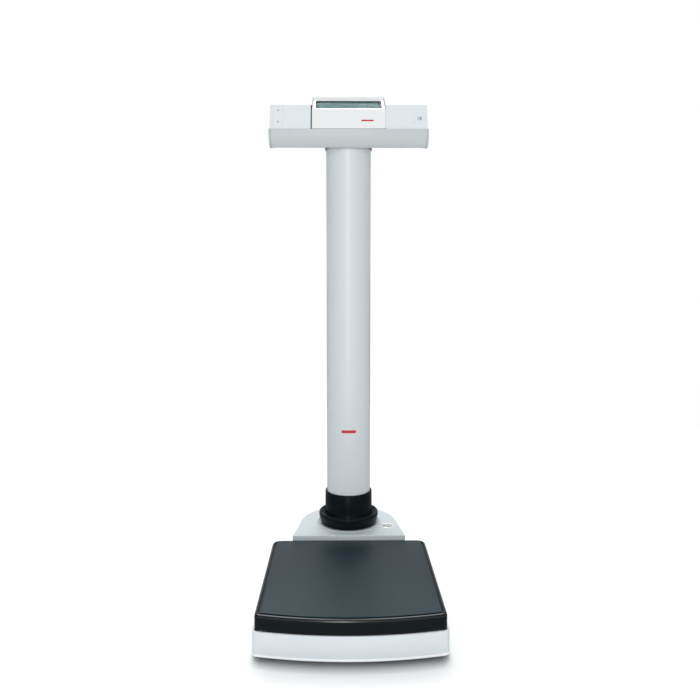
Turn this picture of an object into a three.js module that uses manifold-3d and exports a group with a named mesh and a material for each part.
// A digital column scale for a doctor's practice: a low weighing platform on a white base, a round
// column behind it, and a wide display head at waist height. Millimetres, +Z up. The origin is on the
// floor at the middle of the footprint. The person being weighed stands on the platform and faces +Y.
import * as THREE from "three";
import { mergeVertices } from "three/addons/utils/BufferGeometryUtils.js";
import Module from "manifold-3d";

const wasm = await Module();
wasm.setup();

// ---------------------------------------------------------------- driving dimensions
const COLUMN_Y = 137; // column axis, behind the middle of the footprint
const GAP = 0.3; // clearance between pieces that rest against each other

// base and platform, seen from above
const BASE = { half: 135.5, back: 66, front: -209, bulge: 16, backRadius: 16, frontRadius: 9 };
const DECK = { half: 131.5, back: 63.7, front: -207, bulge: 16, backRadius: 14, frontRadius: 7 };
const MAT = { recess: 4.4, inset: 7.2, bottom: 61.5 }; // the mat lies in a recess with a groove round it
const HOUSING = { radius: 88, half: 99, front: 64.2 };

// heights above the floor
const BASE_BOTTOM = 5;
const BASE_TOP = 41;
const DECK_BOTTOM = 42.4;
const DECK_TOP = 64;
const HOUSING_TOP = 71;
const COLUMN_TOP = 765;

const WALL = 3.5; // base tray
const TRAY_FLOOR = BASE_BOTTOM + WALL;
const FRAME_BOTTOM = TRAY_FLOOR + 0.5;
const FRAME_TOP = FRAME_BOTTOM + 4;
const PEDESTAL_TOP = 20.4;

const TUBE_RADIUS = 39;
const TUBE_BORE = 36.5;

const FEET = [
  ["front_left", -108, -178],
  ["front_right", 108, -178],
  ["rear_left", -60, 163],
  ["rear_right", 60, 163],
];
const FOOT_RADIUS = 14;

const CELLS = [
  ["front_left", -1, -150],
  ["front_right", 1, -150],
  ["rear_left", -1, 25],
  ["rear_right", 1, 25],
];
const CELL = { inner: 32, outer: 112, width: 20, bottom: PEDESTAL_TOP + GAP, height: 12.7, load: 100 };

const CASTOR = { x: 38, y: 206, z: 22, radius: 19, width: 16, hub: 13, axle: 4 };
const BOLT = { count: 3, circle: 42, shank: 3, head: 5 };
const LEVEL = { x: 69, y: 110, radius: 12 };

// display head: profile points are y from the column axis, and z above the floor
const PART_Z = 763; // parting plane between the lower and the upper shell
const HEAD_HALF = 131.5; // upper shell
const LOWER_HALF = 129.7; // lower shell, between the end caps
const CAP_THICKNESS = 3.2;
const SHELL = 2.5;
const WING_FOOT = [-60, PART_Z + 0.2];
const WING_TOP = [-41, 806.8];
const WING_TILT = Math.atan2(WING_TOP[1] - WING_FOOT[1], WING_TOP[0] - WING_FOOT[0]);
const BLOCK_HALF = 61.5; // display block
const GLASS = { width: 111, length: 45, foot: [-48.5, 798.5], tilt: THREE.MathUtils.degToRad(30) };
const LAMP = { x: 50, y: 0.5 };
const KEY = { width: 18, length: 18, x: 118, low: 13, high: 36, mid: 20, radius: 4 };
const BATTERY = { radius: 7.1, length: 50.5, x: 95, y: [20.4, 35.2], z: [774.2, 788.8] };
const DOOR = { x0: 65, x1: 125, z0: 766.4, z1: 796.6 };

// ---------------------------------------------------------------- materials
const paint = (color, roughness, metalness = 0) =>
  new THREE.MeshStandardMaterial({ color, roughness, metalness });
const whitePlastic = paint(0xdfe4e6, 0.45);
const whiteGloss = paint(0xf0f3f5, 0.3);
const columnPaint = paint(0xd3d9db, 0.38);
const wingFoil = paint(0xe2e8ea, 0.42);
const blackPlastic = paint(0x16191b, 0.4);
const matRubber = paint(0x2c3236, 0.62);
const footRubber = paint(0x1b1d1f, 0.8);
const castAluminium = paint(0xa9adb0, 0.5, 0.8);
const zincSteel = paint(0xb9bcbf, 0.4, 0.9);
const boardGreen = paint(0x1f5a38, 0.5);
const smokedGlass = paint(0x4f6363, 0.1);
const clearAcrylic = paint(0xcfd9b0, 0.1);
const cellSleeve = paint(0x3f6b8f, 0.5);
const cableBlack = paint(0x202224, 0.55);

// ---------------------------------------------------------------- solids
function solid(geometry) {
  const bare = geometry.index ? geometry.toNonIndexed() : geometry.clone();
  bare.deleteAttribute("normal");
  bare.deleteAttribute("uv");
  const merged = mergeVertices(bare, 1e-4);
  const vertProperties = merged.attributes.position.array;
  const triVerts = new Uint32Array(merged.index.array);
  return new wasm.Manifold(new wasm.Mesh({ numProp: 3, vertProperties, triVerts }));
}

function geometryOf(manifold) {
  const mesh = manifold.getMesh();
  const geometry = new THREE.BufferGeometry();
  geometry.setAttribute("position", new THREE.BufferAttribute(mesh.vertProperties, 3));
  geometry.setIndex(new THREE.BufferAttribute(mesh.triVerts, 1));
  geometry.computeVertexNormals();
  return geometry;
}

const box = (x0, x1, y0, y1, z0, z1) =>
  solid(
    new THREE.BoxGeometry(x1 - x0, y1 - y0, z1 - z0).translate(
      (x0 + x1) / 2,
      (y0 + y1) / 2,
      (z0 + z1) / 2,
    ),
  );

// Upright cylinder from z0 to z1.
const post = (x, y, radius, z0, z1, sides = 16) =>
  solid(
    new THREE.CylinderGeometry(radius, radius, z1 - z0, sides)
      .rotateX(Math.PI / 2)
      .translate(x, y, (z0 + z1) / 2),
  );

// Cylinder along X from x0 to x1.
const rod = (y, z, radius, x0, x1, sides = 20) =>
  solid(
    new THREE.CylinderGeometry(radius, radius, x1 - x0, sides)
      .rotateZ(Math.PI / 2)
      .translate((x0 + x1) / 2, y, z),
  );

// Cylinder along Y from y0 to y1.
const bar = (x, z, radius, y0, y1, sides = 16) =>
  solid(new THREE.CylinderGeometry(radius, radius, y1 - y0, sides).translate(x, (y0 + y1) / 2, z));

// A plan outline, drawn in X and Y, raised from z0 to z1.
const raise = (shape, z0, z1, curveSegments = 8) =>
  solid(
    new THREE.ExtrudeGeometry(shape, { depth: z1 - z0, bevelEnabled: false, curveSegments }).translate(
      0,
      0,
      z0,
    ),
  );

// A side profile, drawn as y and z, drawn out along X from x0 to x1.
const alongX = new THREE.Matrix4().set(0, 0, 1, 0, 1, 0, 0, 0, 0, 1, 0, 0, 0, 0, 0, 1);
const drawOut = (shape, x0, x1, curveSegments = 6) =>
  solid(
    new THREE.ExtrudeGeometry(shape, { depth: x1 - x0, bevelEnabled: false, curveSegments })
      .translate(0, 0, x0)
      .applyMatrix4(alongX),
  );

// A closed ring profile of [radius, z] points turned about an upright axis at x, y.
function turn(points, x = 0, y = 0, segments = 32) {
  const profile = [...points, points[0]].map(([r, z]) => new THREE.Vector2(r, z));
  return solid(new THREE.LatheGeometry(profile, segments).rotateX(Math.PI / 2).translate(x, y, 0));
}

const polygon = (points) => new THREE.Shape(points.map(([a, b]) => new THREE.Vector2(a, b)));

const joined = (solids) => solids.reduce((whole, piece) => whole.add(piece));
const cutBy = (body, cutters) => cutters.reduce((left, cutter) => left.subtract(cutter), body);

const scale = new THREE.Group();
const head = new THREE.Group(); // its y is measured from the column axis
head.position.y = COLUMN_Y;
const wing = new THREE.Group(); // x, then distance up the wing, then height above it
wing.position.set(0, ...WING_FOOT);
wing.rotation.x = WING_TILT;
const display = new THREE.Group(); // x, then distance up the glass, then height above it
display.position.set(0, ...GLASS.foot);
display.rotation.x = GLASS.tilt;
head.add(wing, display);
scale.add(head);

function place(name, body, material, group = scale) {
  const mesh = new THREE.Mesh(geometryOf(body), material);
  mesh.name = name;
  group.add(mesh);
}

// ---------------------------------------------------------------- plan outlines
// Straight sides, rounded corners, and a front edge that bulges towards the user.
function deckShape(plan, inset = 0) {
  const half = plan.half - inset;
  const back = plan.back - inset;
  const front = plan.front + inset;
  const rear = Math.max(plan.backRadius - inset, 2);
  const nose = Math.max(plan.frontRadius - inset, 2);
  const rise = (2 * plan.bulge * nose) / half; // the front edge's fall over one corner radius
  const shape = new THREE.Shape();
  shape.moveTo(-half + rear, back);
  shape.quadraticCurveTo(-half, back, -half, back - rear);
  shape.lineTo(-half, front + nose);
  shape.quadraticCurveTo(-half, front, -half + nose, front - rise);
  shape.quadraticCurveTo(0, front - 2 * plan.bulge + rise, half - nose, front - rise);
  shape.quadraticCurveTo(half, front, half, front + nose);
  shape.lineTo(half, back - rear);
  shape.quadraticCurveTo(half, back, half - rear, back);
  shape.closePath();
  return shape;
}

// A round back about the column, with straight sides that open out towards the platform.
function housingShape(inset = 0, front = HOUSING.front + inset) {
  const radius = HOUSING.radius - inset;
  const half = HOUSING.half - inset;
  const reach = Math.hypot(half, COLUMN_Y - front);
  const tangent = Math.atan2(front - COLUMN_Y, half) + Math.acos(radius / reach);
  const shape = new THREE.Shape();
  shape.moveTo(-half, front);
  shape.lineTo(half, front);
  shape.absarc(0, COLUMN_Y, radius, tangent, Math.PI - tangent, false);
  shape.closePath();
  return shape;
}

// What the base loses at its lower back edge so that it clears the floor when tipped on the castors.
const tipCut = (lift) => {
  const start = 203 - lift;
  const far = start + 40; // beyond the back of the base
  const corners = [[start, -30], [start, BASE_BOTTOM], [far, BASE_BOTTOM + 40], [far, -30]];
  return drawOut(polygon(corners), -80, 80);
};

const castorSlots = [-1, 1].map((side) => {
  const near = CASTOR.x - CASTOR.width / 2 - 2;
  const far = CASTOR.x + CASTOR.width / 2 + 2;
  const [x0, x1] = side > 0 ? [near, far] : [-far, -near];
  return box(x0, x1, CASTOR.y - CASTOR.radius - 3, 240, -5, CASTOR.z + CASTOR.radius + 5);
});

// ---------------------------------------------------------------- base
function addBaseTray() {
  const outside = raise(deckShape(BASE), BASE_BOTTOM, BASE_TOP).add(
    raise(housingShape(), BASE_BOTTOM, BASE_TOP, 20),
  );
  const inside = raise(deckShape(BASE, WALL), TRAY_FLOOR, BASE_TOP + 1).add(
    raise(housingShape(WALL, BASE.back - 2 * WALL), TRAY_FLOOR, BASE_TOP + 1, 20),
  );
  const footHoles = FEET.map(([, x, y]) => post(x, y, FOOT_RADIUS + 2, 0, TRAY_FLOOR + 1));
  const ramp = tipCut(WALL * 1.4).intersect(raise(housingShape(), BASE_BOTTOM, BASE_TOP, 20));
  const tray = outside.subtract(inside).add(ramp);
  place("base_tray", cutBy(tray, [...footHoles, tipCut(0), ...castorSlots]), whitePlastic);
}

function addBaseFrame() {
  const clear = WALL + 1.5;
  const floor = raise(deckShape(BASE, clear), FRAME_BOTTOM, FRAME_TOP).add(
    raise(housingShape(clear, 40), FRAME_BOTTOM, FRAME_TOP, 16),
  );
  const rim = raise(deckShape(BASE, clear), FRAME_TOP, 22).subtract(
    raise(deckShape(BASE, clear + 5), FRAME_TOP - 1, 23),
  );
  const openRim = box(-84, 84, 40, 70, FRAME_TOP, 24);
  const windows = [
    box(-84, -12, -120, -5, 0, FRAME_TOP + 1),
    box(12, 84, -120, -5, 0, FRAME_TOP + 1),
  ];
  const footBosses = FEET.map(([, x, y]) => post(x, y, 9, FRAME_BOTTOM, 30));
  const footBores = FEET.map(([, x, y]) => post(x, y, 4.4, 0, 40, 16));
  const footRooms = FEET.map(([, x, y]) => post(x, y, FOOT_RADIUS + 1, 0, FRAME_BOTTOM + 1.5));
  const pedestals = CELLS.map(([, side, y]) => {
    const [x0, x1] = side > 0 ? [CELL.inner, CELL.inner + 26] : [-CELL.inner - 26, -CELL.inner];
    return box(x0, x1, y - 12, y + 12, FRAME_TOP - 1, PEDESTAL_TOP);
  });
  const columnPad = post(0, COLUMN_Y, 50, FRAME_BOTTOM, PEDESTAL_TOP, 32);
  const ears = [-22, 22].map((x) => box(x - 4, x + 4, 184, 214, FRAME_TOP - 1, 31));
  const axleBore = rod(CASTOR.y, CASTOR.z, CASTOR.axle + GAP, -60, 60, 16);
  const boltBores = boltPlaces().map(([x, y]) => post(x, y, BOLT.shank + GAP, 0, 40, 12));
  const body = joined([floor, rim, ...footBosses, ...pedestals, columnPad, ...ears]);
  place(
    "base_frame",
    cutBy(body, [
      openRim,
      ...windows,
      ...footBores,
      ...footRooms,
      axleBore,
      ...boltBores,
      tipCut(WALL * 1.4 + 1),
      ...castorSlots,
    ]),
    castAluminium,
  );
}

function addRearHousing() {
  const outside = raise(housingShape(), BASE_TOP + 0.4, HOUSING_TOP, 24);
  const inside = raise(housingShape(3), BASE_TOP - 1, HOUSING_TOP - 3, 24);
  const lip = [[54.6, 69], [58.5, 69], [58.5, 71.8], [57.9, 72.4], [54.6, 72.4]];
  const raisedRing = turn(lip, 0, COLUMN_Y, 40);
  const columnHole = post(0, COLUMN_Y, TUBE_RADIUS + 1, 60, 80, 40);
  const levelHole = post(LEVEL.x, LEVEL.y, LEVEL.radius + GAP, 60, 80, 32);
  const body = outside.subtract(inside).add(raisedRing);
  place("rear_housing", cutBy(body, [columnHole, levelHole, ...castorSlots]), whitePlastic);
}

function addSpiritLevel() {
  const { x, y, radius } = LEVEL;
  const outside = [[radius, 64], [radius, 71.6], [radius - 0.6, 72.6]];
  const rim = [[8.6, 64], ...outside, [9.6, 72.6], [9.6, 66], [8.6, 66]];
  place("level_bezel", turn(rim, x, y, 28), whiteGloss);
  const dome = [[0, 66.3], [9.2, 66.3], [9.2, 71.4], [6, 72.2], [0, 72.5]];
  const profile = dome.map(([r, z]) => new THREE.Vector2(r, z));
  const vial = new THREE.LatheGeometry(profile, 28).rotateX(Math.PI / 2).translate(x, y, 0);
  place("level_vial", solid(vial), clearAcrylic);
}

// ---------------------------------------------------------------- feet
function addFeet() {
  for (const [where, x, y] of FEET) {
    const pad = joined([
      post(x, y, FOOT_RADIUS, 0, 5, 24),
      post(x, y, 8, 4, 8.4, 12),
    ]);
    place(`foot_pad_${where}`, pad, footRubber);
    place(`foot_stud_${where}`, post(x, y, 4, 8.4 + GAP, 36, 16), zincSteel);
  }
}

// ---------------------------------------------------------------- castors
function addCastors() {
  const { x, y, z, radius, width, hub, axle } = CASTOR;
  const end = x + width / 2 + 1.6;
  place("castor_axle", rod(y, z, axle, -end, end, 16), zincSteel);
  for (const [where, side] of [["left", -1], ["right", 1]]) {
    const from = side * x - width / 2;
    const to = side * x + width / 2;
    const dish = [rod(y, z, hub - 3, from - 1, from + 3, 20), rod(y, z, hub - 3, to - 3, to + 1, 20)];
    const boss = rod(y, z, 6.5, from, to, 12);
    const wheel = cutBy(rod(y, z, hub, from, to, 24), dish).add(boss);
    const axleBore = rod(y, z, axle + 0.45, from - 1, to + 1, 12);
    place(`castor_hub_${where}`, wheel.subtract(axleBore), whitePlastic);
    const tread = rod(y, z, radius, from + 1, to - 1, 32).subtract(rod(y, z, hub + GAP, from, to, 24));
    place(`castor_tyre_${where}`, tread, footRubber);
  }
}

// ---------------------------------------------------------------- weighing platform
function addPlatform() {
  const rimTop = DECK_TOP - 0.6;
  const shell = raise(deckShape(DECK), DECK_BOTTOM, rimTop).subtract(
    raise(deckShape(DECK, 3), DECK_BOTTOM - 1, 58.6),
  );
  const recess = raise(deckShape(DECK, MAT.recess), MAT.bottom - GAP, DECK_TOP + 1);
  place("platform_cover", shell.subtract(recess), blackPlastic);
  place("platform_mat", raise(deckShape(DECK, MAT.inset), MAT.bottom, DECK_TOP), matRubber);

  const sheet = raise(deckShape(DECK, 3.6), 46, 58.2).subtract(raise(deckShape(DECK, 5.8), 45, 56));
  const cellTop = CELL.bottom + CELL.height;
  const cups = CELLS.map(([, side, y]) => post(side * CELL.load, y, 9, cellTop + 1.4, 57));
  place("platform_plate", joined([sheet, ...cups]), zincSteel);
}

// A bending-beam load cell: fixed at its inner end, loaded at its outer end, thinned by a double eye.
function addLoadCells() {
  const { inner, outer, width, bottom, height } = CELL;
  const middle = bottom + height / 2;
  for (const [where, side, y] of CELLS) {
    const [x0, x1] = side > 0 ? [inner, outer] : [-outer, -inner];
    const beam = box(x0, x1, y - width / 2, y + width / 2, bottom, bottom + height);
    const eyes = [64, 80].map((x) => bar(side * x, middle, 4.4, y - width, y + width));
    const [slotStart, slotEnd] = [side * 64, side * 80].sort((a, b) => a - b);
    const slot = box(slotStart, slotEnd, y - width, y + width, middle - 1, middle + 1);
    place(`load_cell_${where}`, cutBy(beam, [...eyes, slot]), castAluminium);
  }
}

function addSummingBoard() {
  const board = box(-30, 30, -92, -48, FRAME_TOP + 1.6, FRAME_TOP + 3.2);
  const chip = box(-7, 7, -78, -64, FRAME_TOP + 3, FRAME_TOP + 5.4);
  const plugs = [-20, 20].map((x) => box(x - 5, x + 5, -89, -82, FRAME_TOP + 3, FRAME_TOP + 9));
  const outlet = box(-6, 6, -58, -50, FRAME_TOP + 3, FRAME_TOP + 9);
  place("summing_board", joined([board, chip, ...plugs, outlet]), boardGreen);
}

// ---------------------------------------------------------------- column
function boltPlaces() {
  return Array.from({ length: BOLT.count }, (_, i) => {
    const angle = Math.PI / 2 + (i * 2 * Math.PI) / BOLT.count;
    return [BOLT.circle * Math.cos(angle), COLUMN_Y + BOLT.circle * Math.sin(angle)];
  });
}

function addColumn() {
  const bottom = PEDESTAL_TOP + GAP;
  const flangeTop = bottom + 7;
  const spigot = TUBE_BORE - 0.4;
  const footRing = [
    [30, bottom], [49, bottom], [49, flangeTop], [spigot, flangeTop], [spigot, 150], [30, 150],
  ];
  const cableNotch = box(-6, 6, COLUMN_Y - 52, COLUMN_Y - 24, bottom - 1, 35);
  const bores = boltPlaces().map(([x, y]) => post(x, y, BOLT.shank + GAP, 0, 40, 12));
  place("column_foot", cutBy(turn(footRing, 0, COLUMN_Y), [cableNotch, ...bores]), castAluminium);

  boltPlaces().forEach(([x, y], i) => {
    const head = post(x, y, BOLT.head, flangeTop + GAP, flangeTop + 5, 6);
    place(`column_bolt_${i + 1}`, head.add(post(x, y, BOLT.shank, 12, flangeTop + 1, 12)), zincSteel);
  });

  const tube = [[TUBE_BORE, 35], [TUBE_RADIUS, 35], [TUBE_RADIUS, COLUMN_TOP], [TUBE_BORE, COLUMN_TOP]];
  place("column_tube", turn(tube, 0, COLUMN_Y, 48), columnPaint);

  const bore = TUBE_RADIUS + 0.4;
  const collar = [
    [bore, 71.4], [53.6, 71.4], [54, 73], [54, 90], [53, 92.2], [51.2, 92.4], [48.6, 88.6],
    [45.4, 87.6], [43.4, 89.4], [42.8, 96], [42.3, 130], [41.6, 131.4], [bore, 131.4],
  ];
  place("column_collar", turn(collar, 0, COLUMN_Y, 40), blackPlastic);
}

function addNeckRing() {
  const ring = [[39.3, 738.6], [40.9, 738.6], [40.9, 741.4], [39.3, 741.4]];
  place("neck_ring", turn(ring, 0, COLUMN_Y, 40), footRubber);
}

// The lead from the summing board to the head, inside the base and the column all the way.
function addSignalCable() {
  const route = new THREE.CatmullRomCurve3(
    [
      [0, -46, 24], [0, 0, 25.5], [0, 60, 25.5], [0, 100, 26.5], [0, 122, 40], [2, 134, 80],
      [3, COLUMN_Y, 240], [-3, COLUMN_Y, 480], [0, COLUMN_Y, 700], [0, COLUMN_Y, 764],
      [0, COLUMN_Y, 786],
    ].map((p) => new THREE.Vector3(...p)),
  );
  const section = new THREE.Shape().absarc(0, 0, 3, 0, 2 * Math.PI, false);
  const lead = new THREE.ExtrudeGeometry(section, { extrudePath: route, steps: 44, curveSegments: 4 });
  place("signal_cable", solid(lead), cableBlack);
}

// ---------------------------------------------------------------- display head
// Outer side profiles of the two shells, each with its inside at one wall thickness.
function upperProfile(inset = 0) {
  const shape = new THREE.Shape();
  const lean = inset / Math.sin(WING_TILT);
  const foot = inset ? PART_Z - 5 : WING_FOOT[1];
  const alongWing = (z) => WING_FOOT[0] + lean + (z - WING_FOOT[1]) / Math.tan(WING_TILT);
  const top = 807.6 - inset;
  const back = 46 - inset;
  shape.moveTo(alongWing(foot), foot);
  shape.lineTo(alongWing(top - 3), top - 3);
  shape.quadraticCurveTo(alongWing(top - 0.5), top - 0.5, alongWing(top) + 3.4, top);
  shape.lineTo(back - 9, top + 1.6);
  shape.quadraticCurveTo(back, top + 1.6, back, top - 8);
  shape.lineTo(back, foot);
  shape.closePath();
  return shape;
}

function lowerProfile(inset = 0) {
  const shape = new THREE.Shape();
  const top = inset ? PART_Z + 5 : PART_Z - 0.2;
  shape.moveTo(-61.5 + inset, top);
  shape.lineTo(-61.5 + inset, 754);
  shape.bezierCurveTo(-61.5 + inset, 744, -53 + inset, 735.6 + inset, -41, 735.8 + inset);
  shape.lineTo(34, 750.8 + inset);
  shape.quadraticCurveTo(47 - inset, 752.5 + inset, 47 - inset, 760);
  shape.lineTo(47 - inset, top);
  shape.closePath();
  return shape;
}

function addLowerShell() {
  const skin = drawOut(lowerProfile(), -LOWER_HALF, LOWER_HALF).subtract(
    drawOut(lowerProfile(SHELL), -LOWER_HALF - 1, LOWER_HALF + 1),
  );
  const neck = turn([[39.4, 741.7], [41.2, 741.7], [41.2, 756], [39.4, 756]], 0, 0, 48);
  const bosses = [-82, 82].map((x) => post(x, 0, 5, 745.3, 767.6, 16));
  const bossHoles = [-82, 82].map((x) => post(x, 0, 2.1, 752, 770, 12));
  const tubeHole = post(0, 0, TUBE_RADIUS + 0.4, 730, 770, 48);
  const ringRoom = post(0, 0, 41.2, 730, 741.7, 48);
  const body = joined([skin, neck, ...bosses]);
  place("head_lower_shell", cutBy(body, [tubeHole, ringRoom, ...bossHoles]), whitePlastic, head);
}

function addEndCaps() {
  for (const [where, side] of [["left", -1], ["right", 1]]) {
    const from = side > 0 ? LOWER_HALF + GAP : -LOWER_HALF - GAP - CAP_THICKNESS;
    const plate = drawOut(lowerProfile(-1), from, from + CAP_THICKNESS);
    const body = plate.intersect(box(-150, 150, -70, 60, 720, PART_Z - 0.2));
    place(`end_cap_${where}`, body, whitePlastic, head);
  }
}

const keyPlaces = [
  ["key_up", -KEY.x, KEY.high],
  ["key_down", -KEY.x, KEY.low],
  ["key_start", KEY.x, KEY.mid],
];

function roundedRect(x, y, width, length, radius) {
  const [w, l] = [width / 2, length / 2];
  const shape = new THREE.Shape();
  shape.moveTo(x - w + radius, y - l);
  shape.lineTo(x + w - radius, y - l);
  shape.quadraticCurveTo(x + w, y - l, x + w, y - l + radius);
  shape.lineTo(x + w, y + l - radius);
  shape.quadraticCurveTo(x + w, y + l, x + w - radius, y + l);
  shape.lineTo(x - w + radius, y + l);
  shape.quadraticCurveTo(x - w, y + l, x - w, y + l - radius);
  shape.lineTo(x - w, y - l + radius);
  shape.quadraticCurveTo(x - w, y - l, x - w + radius, y - l);
  return shape;
}

// A solid drawn in the wing's or the glass's own frame, brought into the head's frame.
function tilted(body, foot, tilt) {
  const matrix = new THREE.Matrix4().makeRotationX(tilt).setPosition(0, ...foot);
  return body.transform(matrix.elements);
}

function addUpperShell() {
  const skin = drawOut(upperProfile(), -HEAD_HALF, HEAD_HALF).subtract(
    drawOut(upperProfile(SHELL), -HEAD_HALF + SHELL, HEAD_HALF - SHELL),
  );
  const blockRoom = box(-BLOCK_HALF - GAP, BLOCK_HALF + GAP, -70, 30.4, PART_Z - 1, 840);
  const keyHoles = keyPlaces.map(([, x, t]) => {
    const outline = roundedRect(x, t, KEY.width + 0.8, KEY.length + 0.8, KEY.radius);
    return tilted(raise(outline, -8, 8, 4), WING_FOOT, WING_TILT);
  });
  const doorHole = box(DOOR.x0, DOOR.x1, 40, 50, DOOR.z0, DOOR.z1);
  place("head_upper_shell", cutBy(skin, [blockRoom, ...keyHoles, doorHole]), wingFoil, head);
}

// The raised block that carries the display: its front is parallel to the wings, a few millimetres
// proud of them.
function blockProfile(inset = 0) {
  const proud = 4 - inset;
  const [ny, nz] = [-Math.sin(WING_TILT) * proud, Math.cos(WING_TILT) * proud];
  const t = 35.8 - inset;
  const glass = (s) => [
    GLASS.foot[0] + s * Math.cos(GLASS.tilt) + inset * Math.sin(GLASS.tilt),
    GLASS.foot[1] + s * Math.sin(GLASS.tilt) - inset * Math.cos(GLASS.tilt),
  ];
  const front = [WING_FOOT[0] + ny, WING_FOOT[1] + nz];
  const edge = [front[0] + t * Math.cos(WING_TILT), front[1] + t * Math.sin(WING_TILT)];
  const bottom = inset ? PART_Z - 5 : PART_Z + 0.3;
  return polygon([
    [front[0] - (front[1] - bottom) / Math.tan(WING_TILT), bottom],
    edge,
    glass(0),
    glass(GLASS.length + 0.6),
    [-5 + inset * 0.2, 828.6 - inset * 2],
    [-2.5, 830.4 - inset * 2],
    [3, 830.6 - inset * 2],
    [30 - inset, 815 - inset * 1.3],
    [30 - inset, bottom],
  ]);
}

function addDisplayBlock() {
  const hood = drawOut(blockProfile(), -BLOCK_HALF, BLOCK_HALF).subtract(
    drawOut(blockProfile(SHELL), -BLOCK_HALF + SHELL, BLOCK_HALF - SHELL),
  );
  const { width, length, foot, tilt } = GLASS;
  const window = tilted(box(-width / 2 - GAP, width / 2 + GAP, 1.2, length, -6, 1.5), foot, tilt);
  const eyeHole = post(LAMP.x, LAMP.y, 1.6, 822, 840, 12);
  const bracketRoom = box(-80, 80, -11, 31, PART_Z - 2, 773.5);
  place("display_block", cutBy(hood, [window, eyeHole, bracketRoom]), whiteGloss, head);

  const pane = box(-width / 2, width / 2, 1.5, length - GAP, -2.1, -0.5);
  place("display_window", pane, smokedGlass, display);
  const panel = box(-52, 52, 4, length - 4, -8, -2.5);
  const frame = box(-54, 54, 2.5, length - 2.5, -9.5, -4);
  place("display_panel", panel.add(frame), blackPlastic, display);
  place("status_lamp", post(LAMP.x, LAMP.y, 1.3, 825, 830.9, 12), footRubber, head);
}

function addHeadBoards() {
  const board = box(-54, 54, 5, 44, -14, -12.4);
  const chips = [box(-30, -14, 14, 30, -15.6, -13.9), box(8, 16, 20, 28, -15.4, -13.9)];
  const spacers = [-48, 48].map((x) => post(x, 25, 2.4, -12.5, -9.8, 10));
  place("main_board", joined([board, ...chips, ...spacers]), boardGreen, display);

  const radio = box(-118, -78, 6, 28, 772, 773.2).add(box(-112, -96, 9, 25, 773, 775.6));
  place("radio_board", radio, boardGreen, head);
}

// A key cap and, behind it, the board whose switch it presses.
function addKeys() {
  for (const [name, x, t] of keyPlaces) {
    const cap = raise(roundedRect(x, t, KEY.width, KEY.length, KEY.radius), -2.2, 0.4, 4);
    place(name, cap.add(post(x, t, 2.4, -5.6, -2, 12)), wingFoil, wing);
  }
  for (const [where, side] of [["left", -1], ["right", 1]]) {
    const mid = side * KEY.x;
    const board = box(mid - 8.5, mid + 8.5, 6, 44, -11, -9.6);
    const switches = keyPlaces
      .filter(([, x]) => x === mid)
      .map(([, x, t]) => box(x - 3, x + 3, t - 3, t + 3, -9.8, -6.6));
    place(`key_board_${where}`, joined([board, ...switches]), boardGreen, wing);
  }
}

function addBracket() {
  const fit = TUBE_BORE - 0.4;
  const plug = [[12, 735], [fit, 735], [fit, 765.3], [38.9, 765.3], [38.9, 768.4], [12, 768.4]];
  const crossbar = box(-95, 95, -9, 9, 768, 771.4).subtract(post(0, 0, 12, 760, 780));
  const screwHoles = [-82, 82].map((x) => post(x, 0, 2.2, 760, 780, 12));
  place("head_bracket", cutBy(turn(plug, 0, 0).add(crossbar), screwHoles), castAluminium, head);
  [-82, 82].forEach((x, i) => {
    const screw = post(x, 0, 4, 771.7, 774.4, 14).add(post(x, 0, 1.8, 753, 772, 10));
    place(`head_screw_${i + 1}`, screw, zincSteel, head);
  });
}

function addBatteries() {
  const { radius, length, x } = BATTERY;
  const outer = box(DOOR.x0 + 0.6, DOOR.x1 - 0.6, 11, 42.7, DOOR.z0 - 1.6, DOOR.z1 + 1.4);
  const room = box(DOOR.x0 + 2.6, DOOR.x1 - 2.6, 13, 44, DOOR.z0, DOOR.z1);
  const backNotch = box(x - 12, x + 12, 10, 14, DOOR.z0 + 6, DOOR.z1 - 6);
  place("battery_holder", cutBy(outer, [room, backNotch]), blackPlastic, head);
  BATTERY.z.forEach((z, row) =>
    BATTERY.y.forEach((y, column) => {
      const end = row === column ? 1 : -1; // neighbours point opposite ways
      const can = [x - (end * length) / 2, x + end * (length / 2 - 1)];
      const button = [x, x + (end * length) / 2];
      const body = rod(y, z, radius, Math.min(...can), Math.max(...can), 18);
      const cell = body.add(rod(y, z, 2.7, Math.min(...button), Math.max(...button), 8));
      place(`battery_${row * 2 + column + 1}`, cell, cellSleeve, head);
    }),
  );
  const door = box(DOOR.x0 + 0.4, DOOR.x1 - 0.4, 43.6, 46, DOOR.z0 + 0.4, DOOR.z1 - 0.4);
  const thumb = box(x - 9, x + 9, 45.2, 48, DOOR.z1 - 7, DOOR.z1 - 4);
  place("battery_door", door.subtract(thumb), wingFoil, head);
}

addBaseTray();
addBaseFrame();
addRearHousing();
addSpiritLevel();
addFeet();
addCastors();
addPlatform();
addLoadCells();
addSummingBoard();
addColumn();
addNeckRing();
addSignalCable();
addLowerShell();
addEndCaps();
addUpperShell();
addDisplayBlock();
addHeadBoards();
addKeys();
addBracket();
addBatteries();

export default scale;
